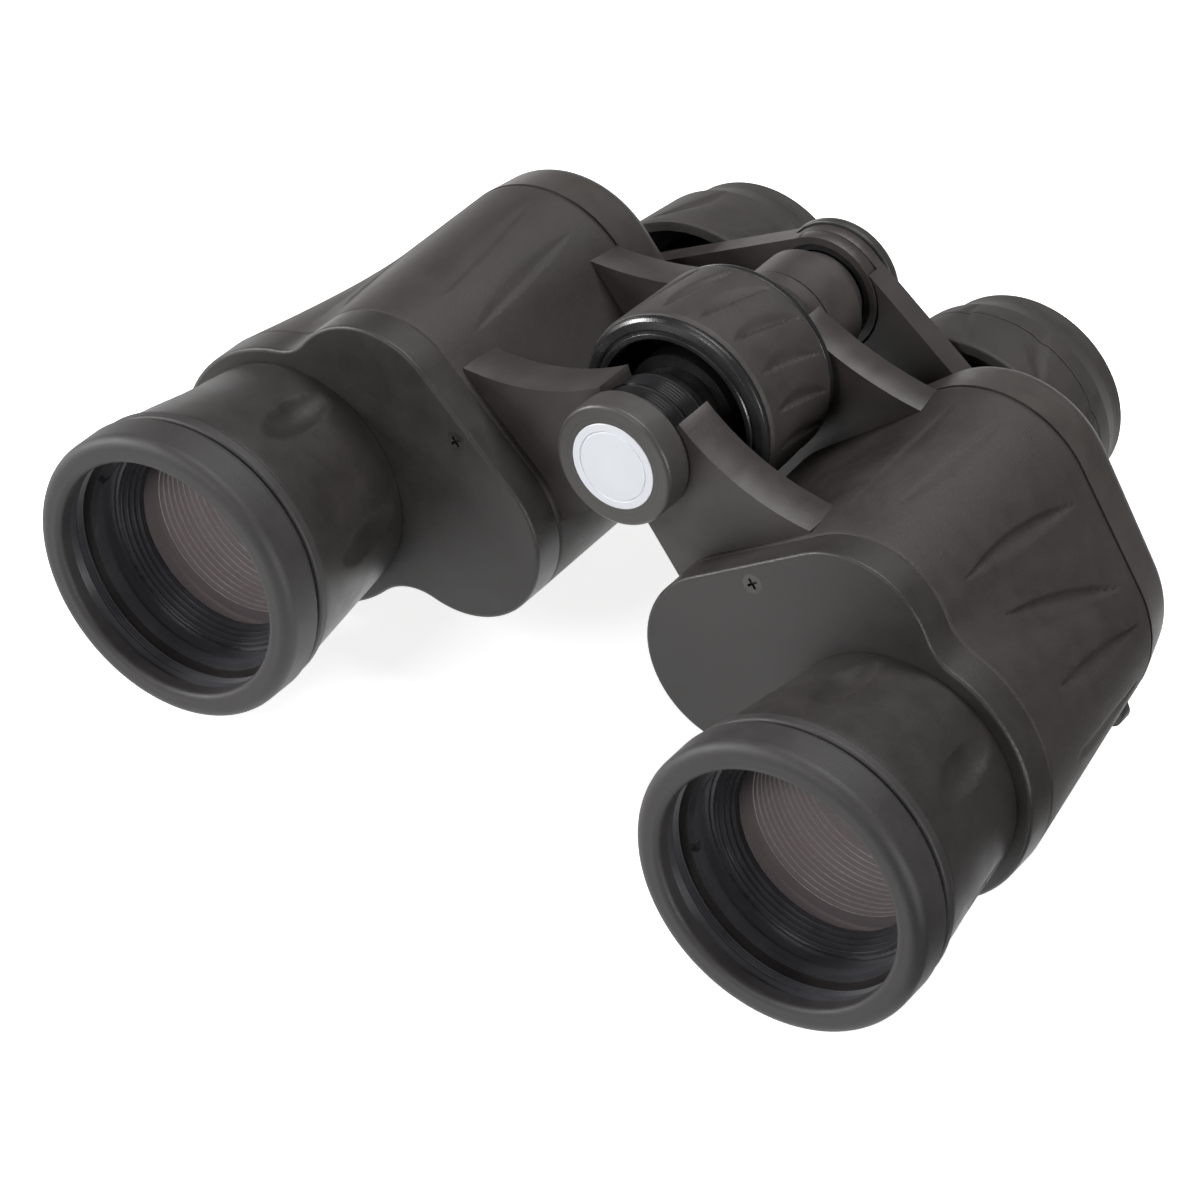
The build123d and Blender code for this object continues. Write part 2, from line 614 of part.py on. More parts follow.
# ---- ocular bridge: shaft, pin, hub, cap ----------------------------------------------
HUB = (111.4, 117.0)
HUB_WEB = 2.0
SHAFT_START = 62.0
slide_r = SHAFT_R - RUNNING
pin_place = Location((0, to_y(DRIVE_PIN), HINGE_Z), (0, 90, 0))
with BuildPart() as focus_shaft:
    disc(SHAFT_START, HINGE, slide_r, HUB[1] - SHAFT_START)
    with Locations(pin_place):
        Cylinder(PIN_R, 2 * PIN_REACH, mode=Mode.SUBTRACT)
save(focus_shaft, "focus_shaft")
with BuildPart() as drive_pin:
    with Locations(pin_place):
        Cylinder(PIN_R, 2 * PIN_REACH)
save(drive_pin, "drive_pin")

HUB_GAP = 0.1
hub_bore = GUIDE_R + HUB_GAP
bridge_hub = turned(
    HINGE,
    [(HUB[0], hub_bore), (HUB[0], HUB_R), (HUB[1], HUB_R), (HUB[1], slide_r),
     (HUB[1] - HUB_WEB, slide_r), (HUB[1] - HUB_WEB, hub_bore)],
)
save(bridge_hub, "bridge_hub")
bridge_cap = turned(
    HINGE,
    [(HUB[1], 0.0), (HUB[1], BRIDGE_R), (BRIDGE_REAR, BRIDGE_R), (BRIDGE_REAR, 0.0)],
    {1: 0.4, 2: 1.6},
)
save(bridge_cap, "bridge_cap")

# ---- ocular arms ----------------------------------------------------------------------
ARM_MIDDLE = 114.3
OCULAR_SPANS = {
    "left": (OCULAR_ARM[0], ARM_MIDDLE - GAP / 2, HUB_R),
    "right": (ARM_MIDDLE + GAP / 2, OCULAR_ARM[1] + 0.2, HUB_R + RUNNING),
}
OCULAR_LUG_R = 11.3
OCULAR_RING_R = 17.6
ARM_SECTOR = (-86.0, 52.0)          # bearings about the hinge that an arm keeps within


def ocular_arm(side):
    start, end, bore_r = OCULAR_SPANS[side]
    other_start, other_end, _ = OCULAR_SPANS[OTHER[side]]
    far = 60.0
    low, high = (math.radians(angle) for angle in ARM_SECTOR)
    with BuildPart() as arm:
        with BuildSketch(cross_plane(OCULAR_ARM[0])):
            for centre, radius in ((HINGE, OCULAR_LUG_R), (EYEPIECE, OCULAR_RING_R)):
                with Locations(centre):
                    Circle(radius)
            make_hull()
            with BuildLine():
                Polyline(
                    HINGE, polar(HINGE, far, low), polar(HINGE, far, -math.pi * 0.75),
                    polar(HINGE, far, math.pi * 0.75), polar(HINGE, far, high), close=True,
                )
            make_face(mode=Mode.SUBTRACT)
        extrude(amount=OCULAR_ARM[0] - OCULAR_ARM[1])
        disc(other_start - GAP, HINGE, OCULAR_LUG_R + SWEEP, other_end - other_start + 2 * GAP,
             Mode.SUBTRACT)
        disc(start, HINGE, OCULAR_LUG_R, end - start)
        disc(SHELF[0], HINGE, bore_r, far, Mode.SUBTRACT)
        disc(SHELF[0], EYEPIECE, SLEEVE_R, far, Mode.SUBTRACT)
    return arm


save(ocular_arm("right"), "right_ocular_arm")
save(mirrored(ocular_arm("left")), "left_ocular_arm")

# ---- eyepieces ------------------------------------------------------------------------
EYEPIECE_FRONT = 98.0
COLLAR_R = 16.2
NECK_R = 15.4
FIELD_R = 12.6
EYE_LENS_R = 12.4
HEAD = (127.0, 138.5)               # the left eyepiece's head, inside its eyecup
EYE_LENS = (130.0, 136.0)
EYE_SEAT = (129.6, 136.3)           # the bulging faces stay clear of the seat's shoulders
guide_r = SLEEVE_R - RUNNING
left_eyepiece_barrel = turned(
    EYEPIECE,
    [(EYEPIECE_FRONT, FIELD_R), (EYEPIECE_FRONT, guide_r), (OCULAR_ARM[0], guide_r),
     (OCULAR_ARM[0], SLEEVE_R), (OCULAR_ARM[1], SLEEVE_R), (OCULAR_ARM[1], COLLAR_R),
     (HEAD[0], COLLAR_R), (HEAD[0], NECK_R), (HEAD[1], NECK_R), (HEAD[1], 11.4),
     (EYE_SEAT[1], 11.4), (EYE_SEAT[1], EYE_LENS_R), (EYE_SEAT[0], EYE_LENS_R),
     (EYE_SEAT[0], 11.6), (128.0, 11.6), (128.0, FIELD_R)],
)
save(mirrored(left_eyepiece_barrel), "left_eyepiece_barrel")

GUIDE_REAR = 123.4
GUIDE_BORE = 14.0
right_eyepiece_guide = turned(
    EYEPIECE,
    [(EYEPIECE_FRONT, GUIDE_BORE), (EYEPIECE_FRONT, guide_r), (OCULAR_ARM[0], guide_r),
     (OCULAR_ARM[0], SLEEVE_R), (OCULAR_ARM[1], SLEEVE_R), (OCULAR_ARM[1], COLLAR_R),
     (GUIDE_REAR, COLLAR_R), (GUIDE_REAR, GUIDE_BORE)],
)
save(right_eyepiece_guide, "right_eyepiece_guide")

head_front, head_rear = HEAD[0] + GAP, HEAD[1] + DIOPTRE_SET
eye_front, eye_rear = EYE_SEAT[0] + DIOPTRE_SET, EYE_SEAT[1] + DIOPTRE_SET
barrel_r = GUIDE_BORE - RUNNING
right_eyepiece_barrel = turned(
    EYEPIECE,
    [(100.0, FIELD_R), (100.0, barrel_r), (head_front, barrel_r), (head_front, COLLAR_R),
     (HEAD[0] + DIOPTRE_SET, COLLAR_R), (HEAD[0] + DIOPTRE_SET, NECK_R), (head_rear, NECK_R),
     (head_rear, 11.4), (eye_rear, 11.4), (eye_rear, EYE_LENS_R), (eye_front, EYE_LENS_R),
     (eye_front, 11.6), (129.0, 11.6), (129.0, FIELD_R)],
)
save(right_eyepiece_barrel, "right_eyepiece_barrel")

# The dioptre ring is the front half of the right eyepiece's grip. Its skirt and the left
# eyecup's reach forward over the collars.
DIOPTRE = (118.8, 131.0)
SKIRT_DEPTH = 5.2
SKIRT_BORE_R = 21.3
dioptre_ring = turned(
    EYEPIECE,
    [(DIOPTRE[0], SKIRT_BORE_R), (DIOPTRE[0], 23.4), (DIOPTRE[1], 22.75),
     (DIOPTRE[1], COLLAR_R + 0.1), (DIOPTRE[0] + SKIRT_DEPTH, COLLAR_R + 0.1),
     (DIOPTRE[0] + SKIRT_DEPTH, SKIRT_BORE_R)],
    {1: 0.5, 2: 0.3},
)
save(dioptre_ring, "dioptre_ring")

FIELD_LENS = (103.0, 105.4)
EYECUP_R = 20.2
EYECUP_START = 118.0                # left eyecup
EYECUP_LIP = 2.2
GRIP_R = 22.75                      # where the right eyecup meets the dioptre ring
eyecup_front = {
    "left": [(HEAD[0], NECK_R), (HEAD[0], SKIRT_BORE_R), (EYECUP_START, SKIRT_BORE_R),
             (EYECUP_START, 23.6)],
    "right": [(DIOPTRE[1] + GAP, NECK_R), (DIOPTRE[1] + GAP, GRIP_R)],
}
for side, shift in (("left", 0.0), ("right", DIOPTRE_SET)):
    place = mirrored if side == "left" else (lambda piece: piece)
    front = eyecup_front[side]
    rear = EYECUP_REAR + shift
    shoulder = len(front)
    eyecup = turned(
        EYEPIECE,
        front + [(rear - 8.4, 22.2), (rear - 3.6, EYECUP_R + 0.2), (rear - EYECUP_LIP, EYECUP_R),
                 (rear, EYECUP_R), (rear, 16.6), (HEAD[1] + shift, 13.8),
                 (HEAD[1] + shift, NECK_R)],
        {shoulder: 1.6, shoulder + 3: 0.4, shoulder + 4: 0.5},
    )
    save(place(eyecup), f"{side}_eyecup")
    field_lens = lens(EYEPIECE, FIELD_LENS[0] + shift, FIELD_R,
                      FIELD_LENS[1] - FIELD_LENS[0], front=2.0, rear=0.8)
    save(place(field_lens), f"{side}_field_lens")
    eye_lens = lens(EYEPIECE, EYE_LENS[0] + shift, EYE_LENS_R,
                    EYE_LENS[1] - EYE_LENS[0], front=1.8, rear=1.0)
    save(place(eye_lens), f"{side}_eye_lens")
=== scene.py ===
import json
import math

import bmesh
import bpy
import numpy as np
from mathutils import Matrix, Vector


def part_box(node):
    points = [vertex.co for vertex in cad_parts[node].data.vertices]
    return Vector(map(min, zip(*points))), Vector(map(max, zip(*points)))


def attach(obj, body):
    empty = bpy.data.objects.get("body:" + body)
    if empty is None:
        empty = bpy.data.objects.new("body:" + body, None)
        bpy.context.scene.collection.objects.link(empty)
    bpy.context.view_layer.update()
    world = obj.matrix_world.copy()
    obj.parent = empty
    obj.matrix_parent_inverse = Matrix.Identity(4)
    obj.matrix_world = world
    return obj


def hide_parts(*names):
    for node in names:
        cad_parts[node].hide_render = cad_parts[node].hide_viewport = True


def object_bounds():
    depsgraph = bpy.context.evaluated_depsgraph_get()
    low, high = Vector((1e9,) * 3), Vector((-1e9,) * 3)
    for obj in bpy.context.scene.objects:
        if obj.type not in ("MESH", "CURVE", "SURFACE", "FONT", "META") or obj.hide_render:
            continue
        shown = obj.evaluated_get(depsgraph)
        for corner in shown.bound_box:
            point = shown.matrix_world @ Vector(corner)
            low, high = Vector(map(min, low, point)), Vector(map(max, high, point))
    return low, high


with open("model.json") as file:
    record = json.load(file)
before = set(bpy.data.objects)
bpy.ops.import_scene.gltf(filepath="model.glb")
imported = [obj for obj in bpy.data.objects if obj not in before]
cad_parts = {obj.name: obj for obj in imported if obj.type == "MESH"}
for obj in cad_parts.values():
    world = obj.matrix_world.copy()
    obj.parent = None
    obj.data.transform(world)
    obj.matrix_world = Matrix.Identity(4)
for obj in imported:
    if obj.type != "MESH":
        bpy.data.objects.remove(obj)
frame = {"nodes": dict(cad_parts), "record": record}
nodes = frame["nodes"]
cad_low, cad_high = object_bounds()
MM = 0.001

# The binoculars' looks, built round the frame. Turned and pressed shapes are given in
# millimetres: stations along Y behind the objective rims' front, and radii about an axis.


# ---- node trees -----------------------------------------------------------------------
class Tree:
    """A short way to write a material's nodes."""

    SOCKETS = {
        "metallic": "Metallic", "rough": "Roughness", "ior": "IOR", "alpha": "Alpha",
        "specular": "Specular IOR Level", "transmission": "Transmission Weight",
    }

    def __init__(self, name):
        self.material = bpy.data.materials.new(name)
        self.material.use_nodes = True
        self.nodes = self.material.node_tree.nodes
        self.links = self.material.node_tree.links
        self.shader = self.nodes["Principled BSDF"]
        self.place = self.nodes.new("ShaderNodeTexCoord").outputs["Object"]

    def join(self, source, target):
        self.links.new(source, target)

    def noise(self, scale, detail=3.0, roughness=0.5):
        node = self.nodes.new("ShaderNodeTexNoise")
        node.inputs["Scale"].default_value = scale
        node.inputs["Detail"].default_value = detail
        node.inputs["Roughness"].default_value = roughness
        self.join(self.place, node.inputs["Vector"])
        return node.outputs["Fac"]

    def grain(self, scale):
        node = self.nodes.new("ShaderNodeTexVoronoi")
        node.inputs["Scale"].default_value = scale
        self.join(self.place, node.inputs["Vector"])
        return node.outputs["Distance"]

    def spread(self, factor, low, high, start=0.3, end=0.7):
        """Maps a factor from start..end to low..high."""
        node = self.nodes.new("ShaderNodeMapRange")
        for key, value in (("From Min", start), ("From Max", end), ("To Min", low), ("To Max", high)):
            node.inputs[key].default_value = value
        self.join(factor, node.inputs["Value"])
        return node.outputs["Result"]

    def mix(self, factor, low, high):
        node = self.nodes.new("ShaderNodeMix")
        node.data_type = "RGBA"
        for key, value in (("A", low), ("B", high)):
            socket = next(s for s in node.inputs if s.name == key and s.type == "RGBA")
            if isinstance(value, tuple):
                socket.default_value = (*value, 1.0)
            else:
                self.join(value, socket)
        self.join(factor, node.inputs["Factor"])
        return next(s for s in node.outputs if s.type == "RGBA")

    def combine(self, operation, first, second):
        """Combines an output with another output or with a number."""
        node = self.nodes.new("ShaderNodeMath")
        node.operation = operation
        self.join(first, node.inputs[0])
        if isinstance(second, float):
            node.inputs[1].default_value = second
        else:
            self.join(second, node.inputs[1])
        return node.outputs["Value"]

    def bump(self, height, distance):
        node = self.nodes.new("ShaderNodeBump")
        node.inputs["Distance"].default_value = distance
        self.join(height, node.inputs["Height"])
        return node.outputs["Normal"]

    def set(self, **values):
        for key, value in values.items():
            self.shader.inputs[self.SOCKETS[key]].default_value = value

    def glow(self, strength):
        self.shader.inputs["Emission Color"].default_value = (1.0, 1.0, 1.0, 1.0)
        self.shader.inputs["Emission Strength"].default_value = strength


PATCH_SCALE = 160.0                 # patches per metre
PATCH_ROUGH = 0.05                  # how far the roughness strays with the patches
GRAIN_ROUGH = 0.04                  # and with the fine grain
DUST = 1.35                         # the lightest specks' tone, over the light tone
DUST_RANGE = (0.52, 0.78)           # where the grain turns to dust
CELL_SHARE = 0.6                    # rounded cells in the bump, beside the grain
CELL_SCALE = 0.8


def coating(name, dark, light, rough, grain, depth, **shader):
    """A painted, moulded or rubber surface: patches of two near tones, and a fine grain of
    the given scale (per metre) and depth (millimetres) in its roughness and bump."""
    t = Tree(name)
    patches = t.noise(PATCH_SCALE, 4.0, 0.6)
    specks = t.noise(grain, 2.0, 0.6)
    colour = t.mix(t.spread(patches, 0.0, 1.0), dark, light)
    dust = tuple(c * DUST for c in light)
    t.join(t.mix(t.spread(specks, 0.0, 0.5, *DUST_RANGE), colour, dust), t.shader.inputs["Base Color"])
    broad = t.spread(patches, -PATCH_ROUGH, PATCH_ROUGH)
    fine = t.spread(specks, rough - GRAIN_ROUGH, rough + GRAIN_ROUGH)
    t.join(t.combine("ADD", broad, fine), t.shader.inputs["Roughness"])
    cells = t.combine("ADD", specks, t.combine("MULTIPLY", t.grain(grain * CELL_SCALE), CELL_SHARE))
    t.join(t.bump(cells, depth * MM), t.shader.inputs["Normal"])
    t.set(**shader)
    return t.material


# name, dark tone, light tone, roughness, grain per metre, grain depth in millimetres
ARMOUR = coating("armour_rubber", (0.026, 0.0225, 0.0205), (0.036, 0.031, 0.0285), 0.56, 5200, 0.06,
                 specular=0.42)
SATIN = coating("satin_black", (0.022, 0.0198, 0.0190), (0.030, 0.0268, 0.0256), 0.44, 6500, 0.03,
                specular=0.45)
COVER = coating("cover_grey", (0.038, 0.033, 0.0305), (0.050, 0.044, 0.0405), 0.44, 6000, 0.03)
CASTING = coating("casting_paint", (0.034, 0.0295, 0.0275), (0.045, 0.039, 0.0365), 0.45, 6000, 0.03)
RIM = coating("rim_rubber", (0.024, 0.0222, 0.0222), (0.033, 0.0305, 0.030), 0.55, 5200, 0.04)
CUP = coating("eyecup_rubber", (0.028, 0.025, 0.0228), (0.038, 0.034, 0.031), 0.6, 5200, 0.06)
GRIP = coating("grip_rubber", (0.028, 0.0245, 0.0225), (0.038, 0.0335, 0.031), 0.52, 5200, 0.06)
WHEEL = coating("wheel_plastic", (0.012, 0.012, 0.013), (0.017, 0.017, 0.018), 0.3, 4200, 0.01)
CAP = coating("cap_plastic", (0.045, 0.042, 0.039), (0.055, 0.051, 0.048), 0.42, 6000, 0.02)
EYEPIECE_PAINT = coating("eyepiece_black", (0.010, 0.010, 0.010), (0.015, 0.014, 0.014), 0.35, 6000, 0.01)
STEEL = coating("hinge_steel", (0.020, 0.020, 0.021), (0.035, 0.035, 0.036), 0.28, 6000, 0.01,
                metallic=0.6)
SPRING = coating("spring_steel", (0.35, 0.35, 0.36), (0.42, 0.42, 0.43), 0.3, 6000, 0.01, metallic=1.0)
SCREW = coating("screw_steel", (0.05, 0.047, 0.045), (0.09, 0.086, 0.083), 0.42, 6000, 0.02, metallic=0.9)
SHELF = coating("shelf_alloy", (0.10, 0.10, 0.10), (0.15, 0.15, 0.15), 0.5, 4000, 0.04, metallic=0.7)
TAIL = coating("tail_cap", (0.026, 0.026, 0.024), (0.034, 0.034, 0.031), 0.4, 6000, 0.02)
HUB = coating("hub_black", (0.010, 0.010, 0.011), (0.015, 0.015, 0.016), 0.2, 6000, 0.01)
RETAINER = coating("retainer_black", (0.042, 0.042, 0.048), (0.055, 0.055, 0.062), 0.34, 4000, 0.01)
GLINT = coating("rib_glint", (0.80, 0.76, 0.76), (0.9, 0.86, 0.86), 0.35, 4000, 0.01, metallic=0.6)


FILM_SCALE = 90.0                   # patches per metre
FILM_SHADE = 0.94                   # the darker patches' tone


def glass(name, tint, clear=0.0, rough=0.03, alpha=1.0, specular=0.5):
    """Glass or gloss enamel: one tint in faint patches, and no grain."""
    t = Tree(name)
    patches = t.spread(t.noise(FILM_SCALE), 0.0, 1.0)
    t.join(t.mix(patches, tint, tuple(c * FILM_SHADE for c in tint)), t.shader.inputs["Base Color"])
    t.set(rough=rough, ior=1.5, transmission=clear, alpha=alpha, specular=specular)
    return t.material


BADGE = glass("badge_white", (0.88, 0.91, 0.96), rough=0.35)
# The objective's glass is a coated veil: light still reaches the ribs behind it.
# Its pale pinkish colour is partly the coating's tint and partly a painted reflection, spread evenly over the
# glass.
LENS_TINT_AND_REFLECTION = glass("coated_glass", (0.56, 0.465, 0.475), rough=0.12, alpha=0.34, specular=0.12)
CLEAR = glass("clear_glass", (0.10, 0.09, 0.09), alpha=0.04, specular=0.05)
GLASS = glass("inner_glass", (0.06, 0.055, 0.055), 0.3)

FINISHES = {
    "armour_rubber": ARMOUR, "satin_black": SATIN, "cover_grey": COVER, "casting_paint": CASTING,
    "rim_rubber": RIM, "eyecup_rubber": CUP, "grip_rubber": GRIP, "wheel_plastic": WHEEL,
    "cap_plastic": CAP, "badge_white": BADGE, "eyepiece_black": EYEPIECE_PAINT,
    "hinge_steel": STEEL, "spring_steel": SPRING, "screw_steel": SCREW, "shelf_alloy": SHELF,
    "retainer_black": RETAINER, "coated_glass": LENS_TINT_AND_REFLECTION, "inner_glass": GLASS, "lug_metal": SATIN,
}
for part in frame["record"]["subparts"]:
    node = nodes[part["node"]]
    node.data.materials.clear()
    node.data.materials.append(FINISHES[part["material_slot"]])
for name, finish in (("bridge_hub", HUB), ("bridge_cap", TAIL)):
    nodes[name].data.materials[0] = finish


CATCH_LIGHTS = {"prism_housing": 0.5, "ocular_arm": 0.4, "strap_lug": 0.3}
SHARP_EDGE = math.radians(35.0)


def catch_light(name, width):
    """Breaks a CAD node's sharp edges by a hair, as paint and machining do."""
    thing = nodes[name]
    weld = thing.modifiers.new("weld", "WELD")
    weld.merge_threshold = 0.001 * MM
    bevel = thing.modifiers.new("bevel", "BEVEL")
    bevel.width = width * MM
    bevel.segments = 2
    bevel.limit_method = "ANGLE"
    bevel.angle_limit = SHARP_EDGE
    bevel.harden_normals = True


for side in ("left", "right"):
    for piece_name, width in CATCH_LIGHTS.items():
        catch_light(f"{side}_{piece_name}", width)


# ---- places, from the frame -------------------------------------------------------------
def axis_of(node):
    """The x and z of a turned node's axis."""
    low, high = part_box(node)
    return ((low[0] + high[0]) / 2, (low[2] + high[2]) / 2)


OBJECTIVE = axis_of("right_objective_rim")
EYEPIECE = axis_of("right_eyepiece_guide")
HINGE = axis_of("hinge_cap")
FRONT = cad_low.y
SIDES = (("left", -1.0), ("right", 1.0))


# ---- meshes -----------------------------------------------------------------------------
def piece(name, points, faces, body, material, replaced=(), crease=28.0):
    """A smooth mesh on a body, sharp where its faces turn by more than the crease, in degrees."""
    mesh = bpy.data.meshes.new(name)
    mesh.from_pydata([tuple(p) for p in points], [], faces)
    mesh.validate()
    shell = bmesh.new()
    shell.from_mesh(mesh)
    bmesh.ops.recalc_face_normals(shell, faces=shell.faces)
    shell.to_mesh(mesh)
    shell.free()
    mesh.shade_smooth()
    mesh.set_sharp_from_angle(angle=math.radians(crease))
    mesh.materials.append(material)
    thing = bpy.data.objects.new(name, mesh)
    bpy.context.scene.collection.objects.link(thing)
    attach(thing, body)
    if replaced:
        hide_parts(*replaced)


def softened(profile, radii, steps=5):
    """A closed profile with some corners, given by index, turned into arcs."""
    out = []
    count = len(profile)
    for i, corner in enumerate(profile):
        radius = radii.get(i, 0.0)
        here = Vector(corner)
        before = Vector(profile[i - 1]) - here
        after = Vector(profile[(i + 1) % count]) - here
        if radius == 0.0:
            out.append(tuple(here))
            continue
        half = before.angle(after) / 2
        reach = min(radius / math.tan(half), 0.49 * before.length, 0.49 * after.length)
        radius = reach * math.tan(half)
        start, end = here + before.normalized() * reach, here + after.normalized() * reach
        centre = here + (before.normalized() + after.normalized()).normalized() * radius / math.sin(half)
        first, last = start - centre, end - centre
        turn = first.angle_signed(last)
        for k in range(steps + 1):
            out.append(tuple(centre + Matrix.Rotation(-turn * k / steps, 2) @ first))
    return out


def dense(profile, spacing):
    """The closed profile with no run longer than the spacing."""
    out = []
    for i, start in enumerate(profile):
        a, b = Vector(start), Vector(profile[(i + 1) % len(profile)])
        runs = max(1, math.ceil((b - a).length / spacing))
        out += [tuple(a.lerp(b, k / runs)) for k in range(runs)]
    return out


def ring_faces(rows, columns):
    """Faces of a surface that closes both ways, from its points in rows."""
    faces = []
    for i in range(rows):
        j = (i + 1) % rows
        for k in range(columns):
            m = (k + 1) % columns
            faces.append((i * columns + k, i * columns + m, j * columns + m, j * columns + k))
    return faces


def turned(name, axis, profile, body, material, replaced=(), steps=160, carve=None, side=1.0):
    """A closed profile of (station, radius), turned about an axis along Y."""
    turned_set(name, axis, [profile], body, material, replaced, steps, carve, side)


def turned_set(name, axis, profiles, body, material, replaced=(), steps=160, carve=None, side=1.0):
    """Several closed profiles turned about one axis, as one piece. carve(stations, angles,
    radii) gives how far in each point goes. A side of -1 makes the left twin."""
    rows = np.array([corner for profile in profiles for corner in profile])
    angles = np.arange(steps) * math.tau / steps
    s, a = np.meshgrid(rows[:, 0], angles, indexing="ij")
    r = np.repeat(rows[:, 1:2], steps, axis=1)
    if carve is not None:
        r = r - carve(s, a, r)
    x = side * (axis[0] + MM * r * np.cos(a))
    y = FRONT + MM * s
    z = axis[1] + MM * r * np.sin(a)
    points = np.stack([x, y, z], axis=-1).reshape(-1, 3)
    faces, first = [], 0
    for profile in profiles:
        faces += [tuple(first + corner for corner in face) for face in ring_faces(len(profile), steps)]
        first += len(profile) * steps
    piece(name, points, faces, body, material, replaced)


def smooth(value):
    """Eases a value from 0 to 1, with no slope at either end."""
    value = np.clip(value, 0.0, 1.0)
    return value * value * (3.0 - 2.0 * value)


def leaf(along, across, half_length, width, depth, steep):
    """A leaf-shaped hollow: how deep it is at a point given by its distances along the
    hollow, from its middle, and across it, from its steep edge. It fades out over the
    width, of which the steep edge takes the given share."""
    run = np.clip(1.0 - (along / half_length) ** 2, 0.0, 1.0)
    q = across / (width * run + 1e-6)
    inside = (q > 0.0) & (q < 1.0)
    shape = np.where(q < steep, smooth(q / steep), 1.0 - smooth((q - steep) / (1.0 - steep)))
    return np.where(inside, depth * np.sqrt(run) * shape, 0.0)


# ---- rubber armour ----------------------------------------------------------------------
ARMOUR_THICK = 1.4
ARMOUR_PITCH = 0.62                 # between the skin's rows
ARMOUR_CREASE = 40.0
STEEP_SHARE = 0.28                  # of a hollow's width, on its steep side
END_ROLL = (0.9, 0.5)               # how long and how deep each end rolls in
BODY_SPAN = (46.8, 94.0)
EYE_MM = (EYEPIECE[0] / MM, EYEPIECE[1] / MM)
OBJ_MM = (OBJECTIVE[0] / MM, OBJECTIVE[1] / MM)
# The folded light path puts a third axis beside the other two.
MID_MM = (
    (OBJ_MM[0] + EYE_MM[0] + EYE_MM[1] - OBJ_MM[1]) / 2,
    (OBJ_MM[1] + EYE_MM[1] + OBJ_MM[0] - EYE_MM[0]) / 2,
)
# Rounds of the body's outline, anticlockwise: centre, radius, and the hollow to the next.
FRONT_ROUNDS = (
    ((EYE_MM[0], EYE_MM[1] - 1.6), 17.5, 11.0),
    (OBJ_MM, 26.0, 9.0),
    (MID_MM, 17.5, None),
)
REAR_ROUNDS = (
    (EYE_MM, 18.0, None),
    ((OBJ_MM[0] - 1.4, OBJ_MM[1] + 2.0), 21.2, None),
    ((MID_MM[0] - 2.0, MID_MM[1] + 0.6), 20.8, None),
)
OUTLINE_SHARES = (60, 24, 96, 40, 90, 34)


def polar(centre, radius, angle):
    return (centre[0] + radius * math.cos(angle), centre[1] + radius * math.sin(angle))


def bearing(start, end):
    return math.atan2(end[1] - start[1], end[0] - start[0])


def joint_of(first, second):
    """The bearings where the outline leaves one round and meets the next, and the centre
    of the hollow between them, if there is one."""
    (centre_1, radius_1, hollow), (centre_2, radius_2, _) = first, second
    heading, distance = bearing(centre_1, centre_2), math.dist(centre_1, centre_2)
    if hollow is None:
        turn = math.acos((radius_1 - radius_2) / distance)
        return heading - turn, heading - turn, None
    reach_1, reach_2 = radius_1 + hollow, radius_2 + hollow
    turn = math.acos((reach_1**2 + distance**2 - reach_2**2) / (2 * reach_1 * distance))
    middle = polar(centre_1, reach_1, heading - turn)
    return heading - turn, bearing(centre_2, middle), middle


def outline(rounds):
    """Points round the body, in millimetres, the same number on each arc in every outline."""
    joints = [joint_of(rounds[i], rounds[(i + 1) % 3]) for i in range(3)]
    points = []
    for i, (centre, radius, hollow) in enumerate(rounds):
        start, (end, next_start, middle) = joints[i - 1][1], joints[i]
        share = OUTLINE_SHARES[2 * i]
        span = (end - start) % math.tau
        points += [polar(centre, radius, start + span * k / share) for k in range(share)]
        leave = Vector(polar(centre, radius, end))
        arrive = Vector(polar(*rounds[(i + 1) % 3][:2], next_start))
        share = OUTLINE_SHARES[2 * i + 1]
        if middle is None:
            points += [tuple(leave.lerp(arrive, k / share)) for k in range(share)]
        else:
            first, last = bearing(middle, leave), bearing(middle, arrive)
            span = (last - first + math.pi) % math.tau - math.pi
            points += [polar(middle, hollow, first + span * k / share) for k in range(share)]
    return np.array(points)


# Hollows pressed into the armour, by their steep edges: bearings about the body's middle
# at the front and rear end in degrees, how far the edge bows, stations of the ends, width
# and depth.
BODY_MIDDLE = (50.0, 38.0)
HOLLOWS = (
    (114.0, 108.0, 2.0, 55.0, 88.0, 4.6, 0.34),
    (96.0, 90.0, 2.0, 57.0, 89.0, 4.6, 0.30),
    (59.6, 51.9, 6.0, 54.7, 88.7, 4.6, 1.10),
    (38.2, 14.6, 4.2, 59.7, 89.6, 4.6, 1.10),
    (10.8, 1.4, 3.0, 57.5, 90.5, 4.6, 1.05),
    (-9.0, -16.0, 1.0, 58.0, 89.0, 4.0, 0.60),
    (-28.0, -32.0, 0.0, 56.0, 90.0, 4.0, 0.60),
)
# Notches where the hinge arms leave the body: stations, and the points on the outline.
NOTCHES = (
    ((48.2, 57.8), (12.4, 38.5), (36.7, 61.6)),
    ((86.2, 94.1), (12.6, 41.5), (38.7, 66.6)),
)


def armour_stations():
    """The skin's rows, with one at each edge of a notch."""
    stops = sorted({*BODY_SPAN, *(s for span, _, _ in NOTCHES for s in span if s < BODY_SPAN[1])})
    stations = []
    for a, b in zip(stops, stops[1:]):
        runs = math.ceil((b - a) / ARMOUR_PITCH)
        stations += [a + (b - a) * k / runs for k in range(runs)]
    return np.array(stations + [BODY_SPAN[1]])


